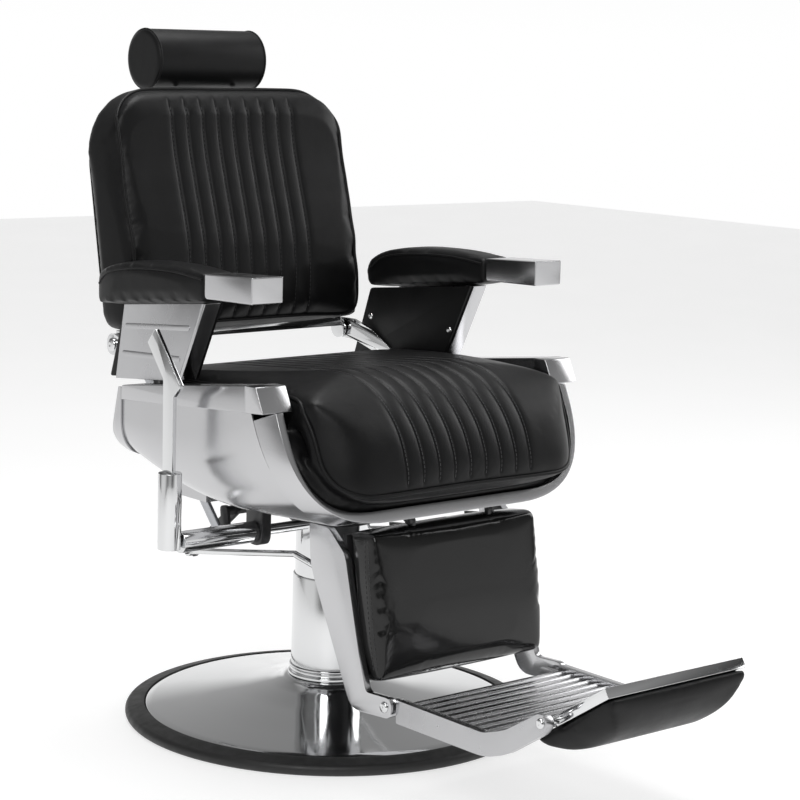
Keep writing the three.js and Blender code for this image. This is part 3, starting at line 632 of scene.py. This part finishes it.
def front_frame_piece():
    """The leaning U that closes the tub's front, its outer face flush with the tub."""
    front = half_section(FRAME_HALF, FRAME_HEIGHT, FRAME_CORNER)
    rear = half_section(FLARED_HALF, FRAME_HEIGHT, FLARED_CORNER)
    inner = half_section(FRAME_INNER_HALF, FRAME_HEIGHT - FRAME_FLOOR, FRAME_INNER_CORNER)
    loops = []
    for (xa, ha), (xb, hb), (xi, hi) in zip(front, rear, inner):
        loops.append(
            [
                in_front_frame(-xa, 0, ha),
                in_front_frame(-xb, FRAME_DEPTH, hb),
                in_front_frame(-xi, FRAME_DEPTH, hi + FRAME_FLOOR),
                in_front_frame(-xi, 0, hi + FRAME_FLOOR),
            ]
        )
    loops += [[(-x, y, z) for x, y, z in loop] for loop in reversed(loops[:-1])]
    points = [p for loop in loops for p in loop]
    obj = mesh_object("front_frame_cast", points, loop_faces(len(loops), 4))
    clean(obj)
    bevel = obj.modifiers.new("edges", "BEVEL")
    bevel.width = 0.0022
    bevel.segments = 3
    bevel.angle_limit = math.radians(40)
    belongs(as_mesh(obj), "seat", "polished_chrome", "front_frame", material=SOFT_CHROME)


# ---------------------------------------------------------------- cushions


def surface_of(node, voxel, rounds):
    """A fine, softened skin around a CAD cushion."""
    obj = frame["nodes"][node].copy()
    obj.data = obj.data.copy()
    obj.modifiers.clear()
    for key in list(obj.keys()):
        del obj[key]
    obj.parent = None
    obj.matrix_world = frame["nodes"][node].matrix_world.copy()
    bpy.context.scene.collection.objects.link(obj)
    remesh = obj.modifiers.new("skin", "REMESH")
    remesh.mode = "VOXEL"
    remesh.voxel_size = voxel
    smooth = obj.modifiers.new("soften", "SMOOTH")
    smooth.factor = 0.5
    smooth.iterations = rounds
    mesh = evaluated(obj)
    world = obj.matrix_world.copy()
    bpy.data.objects.remove(obj)
    mesh.transform(world)
    return mesh


CLOTH_FRAMES = 12


def puffed(mesh, pressure, cap):
    """Blows a cushion's cover out a little with a short cloth run; no point moves more than cap."""
    obj = placed("cloth_work", mesh)
    start = points_of(mesh)
    cloth = obj.modifiers.new("cloth", "CLOTH")
    cloth.settings.use_pressure = True
    cloth.settings.uniform_pressure_force = pressure
    cloth.settings.effector_weights.gravity = 0
    cloth.settings.quality = 4
    cloth.settings.tension_stiffness = 20
    cloth.settings.compression_stiffness = 20
    cloth.settings.bending_stiffness = 2
    cloth.point_cache.frame_start = 1
    cloth.point_cache.frame_end = CLOTH_FRAMES
    scene = bpy.context.scene
    for number in range(1, CLOTH_FRAMES + 1):
        scene.frame_set(number)
    blown = evaluated(obj)
    bpy.data.objects.remove(obj)
    scene.frame_set(1)
    move = points_of(blown) - start
    length = np.linalg.norm(move, axis=1, keepdims=True)
    move *= np.minimum(1, cap / np.maximum(length, 1e-9))
    set_points(blown, start + move)
    return blown


def points_of(mesh):
    flat = np.empty(len(mesh.vertices) * 3)
    mesh.vertices.foreach_get("co", flat)
    return flat.reshape(-1, 3)


def normals_of(mesh):
    flat = np.empty(len(mesh.vertices) * 3)
    mesh.vertices.foreach_get("normal", flat)
    return flat.reshape(-1, 3)


def set_points(mesh, points):
    mesh.vertices.foreach_set("co", points.ravel())
    mesh.update()


def finer(mesh):
    """The mesh after one round of subdivision."""
    obj = placed("finer_work", mesh)
    split = obj.modifiers.new("split", "SUBSURF")
    split.levels = 1
    made = evaluated(obj)
    bpy.data.objects.remove(obj)
    return made


def step(value, low, high):
    """A soft step from 0 below low to 1 above high."""
    t = np.clip((value - low) / (high - low), 0, 1)
    return t * t * (3 - 2 * t)


def carve(mesh, depth):
    """Sinks each point along its normal by depth(points, normals)."""
    points, normals = points_of(mesh), normals_of(mesh)
    set_points(mesh, points - normals * depth(points, normals)[:, None])


def fair_front(mesh):
    """Evens out the bend of a back cushion's front face, seen from the side."""
    points, normals = points_of(mesh), normals_of(mesh)
    front = (normals[:, 1] < -0.6) & (np.abs(points[:, 0]) < 0.15)
    low, high = 0.675, 1.035
    used = front & (points[:, 2] > low) & (points[:, 2] < high)
    rise = np.clip(points[:, 2], low, high) - (low + high) / 2
    now = np.polyfit(rise[used], points[used, 1], 9)
    fair = np.polyfit(rise[used], points[used, 1], 3)
    shift = np.polyval(fair, rise) - np.polyval(now, rise)
    fade = step(points[:, 2], low, low + 0.03) * (1 - step(points[:, 2], high - 0.03, high))
    points[:, 1] += shift * fade * step(-normals[:, 1], 0.2, 0.6)
    set_points(mesh, points)


def lean_front(mesh):
    """Leans the seat cushion's front face back towards its top edge."""
    points = points_of(mesh)
    back = 0.03 * step(points[:, 2], 0.47, 0.6) * step(-points[:, 1], 0.08, 0.32)
    points[:, 1] += back
    set_points(mesh, points)


def cushion(name, node, body, skin, blow, slot="black_vinyl", shape=None, depth=None):
    """A padded cover in place of a CAD cushion.

    skin is its voxel size and rounds of smoothing, blow its pressure and the most a point may move.
    shape bends the cover before it is blown out, and depth carves its sewn channels.
    """
    mesh = surface_of(node, *skin)
    if shape:
        shape(mesh)
    mesh = finer(puffed(mesh, *blow))
    if depth:
        carve(mesh, depth)
    mesh.name = name
    obj = placed(name, mesh)
    shade(obj, 180)
    belongs(obj, body, slot, node)
    return obj


def skin_tree(obj):
    return BVHTree.FromPolygons(
        [v.co.copy() for v in obj.data.vertices], [tuple(p.vertices) for p in obj.data.polygons]
    )


def on_skin(tree, points, lift=0.0):
    """The nearest places on a skin, raised from it by lift."""
    out = []
    for point in points:
        place, normal, _, _ = tree.find_nearest(Vector(point))
        out.append(place + normal * lift)
    return out


def piping(name, tree, points, body, radius=0.0032, closed=False):
    """A cord along a smooth route through a few points, sunk a little into a skin."""
    run = on_skin(tree, smooth_run(points), radius * 0.35)
    run = soften_run(run, closed)
    cord = tube(name, run, radius, closed)
    return belongs(cord, body, "black_vinyl")


def soften_run(run, closed, times=6):
    """Draws each point of a run towards its neighbours."""
    run = np.array([tuple(p) for p in run])
    for _ in range(times):
        before, after = np.roll(run, 1, axis=0), np.roll(run, -1, axis=0)
        mean = (before + after) / 2
        if not closed:
            mean[0], mean[-1] = run[0], run[-1]
        run = (run + mean) / 2
    return run


def stitches(name, tree, runs, body, keep_x=True, pitch=0.0075, length=0.0045, radius=0.00055):
    """Short thread stitches along runs that lie on a skin."""
    points, faces = [], []
    for run in runs:
        fine = smooth_run(run, pitch)
        places = on_skin(tree, fine, radius * 0.6)
        if keep_x:
            places = [Vector((a[0], b.y, b.z)) for a, b in zip(fine, places)]
        for a, b in zip(places, places[1:]):
            reach = (b - a).normalized() * length / 2
            middle = (a + b) / 2
            more_points, more_faces = tube_parts([middle - reach, middle + reach], radius, sides=5)
            faces += [[len(points) + k for k in face] for face in more_faces]
            points += more_points
    return belongs(mesh_object(name, points, faces, 60), body, "black_vinyl", material=THREAD)


PITCH = 0.0325
CHANNEL_LINES = [PITCH * k for k in range(-4, 5)]
CHANNELLED_VOXEL = PITCH / 8  # so that every channel falls on a row of mesh points
CHANNEL_DEPTH = 0.003
CHANNEL_WIDTH = 0.0024
DOME = 0.0013
DOME_WIDTH = CHANNEL_WIDTH * 3.4


def channels(points, where):
    """Stitched valleys that run lengthways, with the panels between them slightly domed."""
    out = np.zeros(len(points))
    for x in CHANNEL_LINES:
        away = np.abs(points[:, 0] - x)
        out += CHANNEL_DEPTH * np.exp(-((away / CHANNEL_WIDTH) ** 2))
        out += DOME * np.exp(-((away / DOME_WIDTH) ** 2))
    return out * where


def channel_stitches(name, tree, route, body):
    """Stitches down every channel; the route is (y, z) in millimetres."""
    runs = [[(x, y * MM, z * MM) for y, z in route] for x in CHANNEL_LINES]
    stitches(name, tree, runs, body)


def seat_depth(points, normals):
    """The channels run down the front and, shallower, back along the top."""
    front = step(-points[:, 1], 0.02, 0.16) * step(points[:, 2], 0.466, 0.482)
    top = 0.55 * step(-points[:, 1], -0.16, -0.12) * step(normals[:, 2], 0.5, 0.8)
    outer = step(np.maximum(normals[:, 2], -normals[:, 1]), 0.3, 0.6)
    return channels(points, np.maximum(front, top) * outer)


# Right half of the seat's piping, (x, y, z) in millimetres, from the rear to the middle of the front.
SEAT_SEAM = [
    (270, 140, 590),
    (271, 0, 602),
    (271, -120, 612),
    (271, -205, 616),
    (271, -236, 610),
    (271, -252, 592),
    (271, -268, 572),
    (271, -286, 545),
    (268, -298, 512),
    (262, -308, 492),
    (247, -322, 474),
    (223, -337, 465),
    (150, -344, 462),
    (0, -348, 461),
]
SEAT_STITCHES = ((-50, 630), (-200, 640), (-300, 610), (-345, 560), (-352, 500), (-350, 475))


def both_sides(half):
    """A route that ends on the middle line, carried on down the other side."""
    half = in_metres(half)
    return half + mirrored(half[:-1])


def seat_pieces():
    obj = cushion(
        "seat_upholstery",
        "seat_cushion",
        "seat",
        skin=(CHANNELLED_VOXEL, 36),
        blow=(3.0, 0.005),
        shape=lean_front,
        depth=seat_depth,
    )
    tree = skin_tree(obj)
    piping("seat_piping", tree, both_sides(SEAT_SEAM), "seat", 0.0036)
    channel_stitches("seat_stitching", tree, SEAT_STITCHES, "seat")


def back_depth(points, normals):
    front = step(-normals[:, 1], 0.35, 0.7)
    tall = step(points[:, 2], 0.655, 0.675) * (1 - step(points[:, 2], 1.03, 1.05))
    return channels(points, front * tall)


# Right half of the back's piping, (x, y, z) in millimetres, from the middle of the foot to the top.
BACK_SEAM = [
    (0, 252, 652),
    (150, 252, 652),
    (222, 256, 655),
    (243, 256, 676),
    (243, 248, 720),
    (243, 256, 800),
    (242, 284, 880),
    (240, 302, 960),
    (234, 322, 1008),
    (214, 340, 1040),
    (180, 346, 1054),
    (100, 348, 1060),
    (0, 348, 1060),
]
BACK_STITCHES = ((245, 672), (244, 740), (252, 800), (280, 880), (305, 980), (315, 1030))
BACK_LEAN = math.radians(10.8)
BOARD_HALF = 0.246
BOARD_FOOT = (0.331, 0.652)  # (y, z) of the back board's front face at the bottom
BOARD_TOP = 0.985
BOARD_GAUGE = 0.0135


def on_board(x, height, depth):
    """A place in the leaning back board, by its height in the scene and its depth from the front."""
    rise = (height - BOARD_FOOT[1]) / math.cos(BACK_LEAN)
    y = BOARD_FOOT[0] + rise * math.sin(BACK_LEAN) + depth * math.cos(BACK_LEAN)
    z = BOARD_FOOT[1] + rise * math.cos(BACK_LEAN) - depth * math.sin(BACK_LEAN)
    return (x, y, z)


def back_pieces():
    obj = cushion(
        "back_upholstery",
        "back_cushion",
        "backrest",
        skin=(CHANNELLED_VOXEL, 30),
        blow=(3.0, 0.005),
        shape=fair_front,
        depth=back_depth,
    )
    tree = skin_tree(obj)
    piping("back_piping", tree, both_sides(BACK_SEAM), "backrest", closed=True)
    channel_stitches("back_stitching", tree, BACK_STITCHES, "backrest")
    outline = rounded_box_outline(BOARD_HALF, BOARD_FOOT[1], BOARD_TOP, 0.06)
    board = rounded_panel("back_shell", outline, on_board, BOARD_GAUGE)
    belongs(board, "backrest", "black_vinyl", "back_board")


def rounded_box_outline(half, low, high, corner, steps=10):
    """Outline of an upright rectangle with round corners, anticlockwise."""
    out = []
    side, foot, head = half - corner, low + corner, high - corner
    for quarter, (a, b) in enumerate(((side, foot), (side, head), (-side, head), (-side, foot))):
        for k in range(steps + 1):
            angle = math.pi / 2 * (quarter - 1 + k / steps)
            out.append((a + corner * math.cos(angle), b + corner * math.sin(angle)))
    return out


def rounded_panel(name, outline, place, thick):
    """A thick plate with soft edges, from a closed (a, b) outline; place maps (a, b, depth)."""
    points = []
    centre = np.mean(outline, axis=0)
    edge = [(0.0, 0.03), (0.0, 0.012), (0.2, 0.004)]  # (share of the depth, inset)
    levels = edge + [(0.5, 0.0)] + [(1 - depth, inset) for depth, inset in reversed(edge)]
    for depth, inset in levels:
        for a, b in outline:
            away = np.array([a, b]) - centre
            away *= 1 - inset / np.linalg.norm(away)
            points.append(place(centre[0] + away[0], centre[1] + away[1], depth * thick))
    obj = mesh_object(name, points, loop_faces(len(levels), len(outline)), 50)
    clean(obj)
    return obj


ARM_SEAM = ((-66, 776), (20, 782), (120, 776), (200, 762), (235, 740))  # (y, z) in millimetres
ARM_SEAM_EDGES = (("outer", 329), ("inner", 261))


def arm_pieces():
    for side, sign in SIDES:
        node = f"arm_pad_{side}"
        obj = cushion(f"armrest_{side}", node, "seat", skin=(0.004, 7), blow=(2.0, 0.003))
        tree = skin_tree(obj)
        for edge, x in ARM_SEAM_EDGES:
            run = in_metres([(sign * x, y, z) for y, z in ARM_SEAM])
            piping(f"arm_seam_{edge}_{side}", tree, run, "seat", 0.0016)


def roll_pieces():
    low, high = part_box("headrest_roll")
    centre = (low + high) / 2
    half, radius = (high.x - low.x) / 2, (high.z - low.z) / 2
    face = [(0, -half), (radius * 0.6, -half), (radius, -half)]
    profile = rounded(face + [(r, -x) for r, x in reversed(face)], 0.009, 6)
    obj = turned("head_roll", profile, "X", (0, centre.y, centre.z), 96)
    belongs(obj, "headrest", "black_vinyl", "headrest_roll")
    tree = skin_tree(obj)
    around = [2 * math.pi * k / 80 for k in range(80)]
    for side, sign in SIDES:
        x = sign * (half - 0.005)
        ring = [(x, centre.y + radius * math.cos(a), centre.z + radius * math.sin(a)) for a in around]
        run = soften_run(on_skin(tree, ring, 0.0004), closed=True, times=2)
        cord = tube(f"roll_piping_{side}", run, 0.0018, closed=True)
        belongs(cord, "headrest", "black_vinyl")


LEG_SEAM_TOP = (-0.316, 0.385)  # (y, z) of the leg pad's front edge
LEG_SEAM_FALL = (-0.031, -0.205)
LEG_SEAM_INSETS = (0.012, 0.02)


def leg_pad_pieces():
    obj = cushion(
        "leg_upholstery",
        "leg_pad",
        "legrest",
        skin=(0.0035, 40),
        blow=(2.5, 0.004),
        slot="patent_vinyl",
    )
    tree = skin_tree(obj)
    _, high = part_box("leg_pad")
    (top_y, top_z), (fall_y, fall_z) = LEG_SEAM_TOP, LEG_SEAM_FALL
    down = np.linspace(0, 1, 8)
    for side, sign in SIDES:
        runs = []
        for inset in LEG_SEAM_INSETS:
            runs.append([(sign * high.x, top_y + inset + t * fall_y, top_z + t * fall_z) for t in down])
        stitches(f"leg_stitching_{side}", tree, runs, "legrest", keep_x=False)


def flap_pad_pieces():
    cushion("flap_upholstery", "flap_pad", "flap", skin=(0.0035, 12), blow=(2.0, 0.003))


# ---------------------------------------------------------------- small fittings


def screw(name, place, direction, radius, body):
    """A domed screw head, dimpled in the middle, that stands on a face."""
    shares = [(0, -0.3), (1, -0.3), (1, 0.12), (0.8, 0.42), (0.3, 0.52), (0, 0.42)]
    profile = rounded([(radius * r, radius * h) for r, h in shares], radius * 0.2, 4)
    obj = turned(name, profile, steps=40)
    turn = Vector((0, 0, 1)).rotation_difference(Vector(direction)).to_matrix().to_4x4()
    obj.data.transform(Matrix.Translation(Vector(place)) @ turn)
    return belongs(obj, body, "polished_chrome")


LINER_SCREWS = ((14, 650), (232, 651))  # (y, z) in millimetres
JOINT_SCREWS = (
    # name, joint, distance from the middle, radius, body
    ("toe_screw", "footplate_fold", 0.188, 0.009, "footplate"),
    ("flap_screw", "flap_turn", 0.1815, 0.008, "flap"),
    ("recline_screw", "recline", 0.2535, 0.012, "backrest"),
)


def screw_pieces():
    for side, sign in SIDES:
        for number, (y, z) in enumerate(LINER_SCREWS):
            place = (sign * 0.264, y * MM, z * MM)
            screw(f"liner_screw_{side}_{number}", place, (-sign, 0, 0), 0.006, "seat")
        for name, joint, x, radius, body in JOINT_SCREWS:
            _, y, z = JOINTS[joint]["pos_m"]
            screw(f"{name}_{side}", (sign * x, y, z), (sign, 0, 0), radius, body)


def stadium(name, length, height, thickness):
    """A flat bar with round ends, lying in the YZ plane, standing out along +X."""
    r = height / 2
    outline = []
    for end in (-1, 1):
        for k in range(13):
            a = -end * math.pi / 2 + math.pi * k / 12
            outline.append((end * (length / 2 - r) + r * math.cos(a), r * math.sin(a)))
    points = []
    levels = [(0, 1.0), (thickness * 0.7, 1.0), (thickness, 0.7)]
    for x, share in levels:
        inset = (1 - share) * r
        points += [(x, y - math.copysign(inset, y), z * share) for y, z in outline]
    return mesh_object(name, points, loop_faces(len(levels), len(outline)))


# (y, z, length) in millimetres and slope in degrees.
ARM_RIBS = ((96, 681, 186, 5.2), (113, 631, 168, 3.5))


def rib_pieces():
    """The two pressed ribs on each arm's outer panel."""
    for side, sign in SIDES:
        for number, (y, z, length, slope) in enumerate(ARM_RIBS):
            obj = stadium(f"arm_rib_{side}_{number}", length * MM, 0.009, 0.0012)
            turn = Matrix.Rotation(-sign * math.radians(slope), 4, "X")
            if sign < 0:
                turn = Matrix.Rotation(math.pi, 4, "Z") @ turn
            obj.data.transform(Matrix.Translation((sign * 0.301, y * MM, z * MM)) @ turn)
            belongs(obj, "seat", "cast_aluminium")


# ---------------------------------------------------------------- studio and camera


FLOOR_HALF = 9.0
FLOOR_LEVEL = -0.0005
# Grey of the studio's walls by height (0 level, 1 overhead) and by direction round the object.
WALL_TONES = ((0.0, 1.0), (0.16, 0.9), (0.3, 0.4), (0.7, 0.22), (1.0, 0.8))
AROUND_TONES = (
    (0.0, 0.8),
    (0.06, 0.2),
    (0.13, 0.5),
    (0.2, 0.12),
    (0.28, 0.9),
    (0.38, 0.9),
    (0.44, 0.15),
    (0.5, 1.0),
    (0.78, 1.0),
    (0.84, 0.15),
    (0.92, 0.8),
)


def studio_floor():
    half = FLOOR_HALF
    corners = [(x, y, FLOOR_LEVEL) for x, y in ((-half, -half), (half, -half), (half, half), (-half, half))]
    floor = mesh_object("studio_floor", corners, [(0, 1, 2, 3)])
    paint(floor, make_stage())


def studio_walls():
    """A surround whose grey changes with height and direction, for the chrome to reflect."""
    world = bpy.data.worlds.new("studio_world")
    bpy.context.scene.world = world
    world.use_nodes = True
    tree = world.node_tree
    coordinates = tree.nodes.new("ShaderNodeTexCoord").outputs["Generated"]
    split = tree.nodes.new("ShaderNodeSeparateXYZ")
    tree.links.new(coordinates, split.inputs["Vector"])
    height = ramp(tree, split.outputs["Z"], WALL_TONES)
    around = tree.nodes.new("ShaderNodeTexGradient")
    around.gradient_type = "RADIAL"
    tree.links.new(coordinates, around.inputs["Vector"])
    side = ramp(tree, around.outputs["Fac"], AROUND_TONES)
    both = tree.nodes.new("ShaderNodeMix")
    both.data_type = "RGBA"
    both.blend_type = "MULTIPLY"
    both.inputs["Factor"].default_value = 1.0
    tree.links.new(height, both.inputs["A"])
    tree.links.new(side, both.inputs["B"])
    tree.links.new(both.outputs["Result"], tree.nodes["Background"].inputs["Color"])


def ramp(tree, value, tones):
    """A grey ramp through (place, tone) stops."""
    made = tree.nodes.new("ShaderNodeValToRGB")
    stops = made.color_ramp.elements
    while len(stops) < len(tones):
        stops.new(0.5)
    for stop, (place, tone) in zip(stops, tones):
        stop.position = place
        stop.color = (tone, tone, tone, 1)
    tree.links.new(value, made.inputs["Fac"])
    return made.outputs["Color"]


def lamp(name, place, target, size, power):
    data = bpy.data.lights.new(name, "AREA")
    data.shape = "RECTANGLE"
    data.size, data.size_y = size
    data.energy = power
    obj = placed(name, data)
    obj.location = place
    obj.rotation_euler = (Vector(target) - Vector(place)).to_track_quat("-Z", "Y").to_euler()


def lights():
    lamp("key", (-2.6, -2.2, 3.0), (0, 0, 0.6), (2.0, 2.0), 66)
    lamp("fill", (3.4, -0.7, 2.4), (0, 0, 0.6), (2.2, 2.2), 50)
    lamp("top", (0.2, 0.4, 3.4), (0, 0, 0.4), (2.0, 2.0), 60)


CAMERA_PLACE = (-2.38469, -2.97425, 1.16454)
CAMERA_TURNS = (-40.351, 9.132, 1.637)  # round the object, down and roll, in degrees
CAMERA_LENS = 102.53


def camera():
    a, e, r = (math.radians(angle) for angle in CAMERA_TURNS)
    ahead = Vector((-math.sin(a) * math.cos(e), math.cos(a) * math.cos(e), -math.sin(e)))
    level = Vector((math.cos(a), math.sin(a), 0))
    upright = level.cross(ahead)
    right = math.cos(r) * level + math.sin(r) * upright
    up = -math.sin(r) * level + math.cos(r) * upright
    data = bpy.data.cameras.new("camera")
    data.lens = CAMERA_LENS
    data.sensor_width = 36
    obj = placed("camera", data)
    turn = Matrix((right, up, -ahead)).transposed().to_4x4()
    obj.matrix_world = Matrix.Translation(CAMERA_PLACE) @ turn
    bpy.context.scene.camera = obj


# ---------------------------------------------------------------- build

for node_name, node_object in frame["nodes"].items():
    refine(node_object, node_name)

base_pieces()
column_pieces()
tub_pieces()
rear_cover_piece()
front_frame_piece()
seat_pieces()
back_pieces()
arm_pieces()
roll_pieces()
leg_pad_pieces()
flap_pad_pieces()
screw_pieces()
rib_pieces()
studio_floor()
studio_walls()
lights()
camera()
bpy.context.scene.view_settings.view_transform = "Standard"
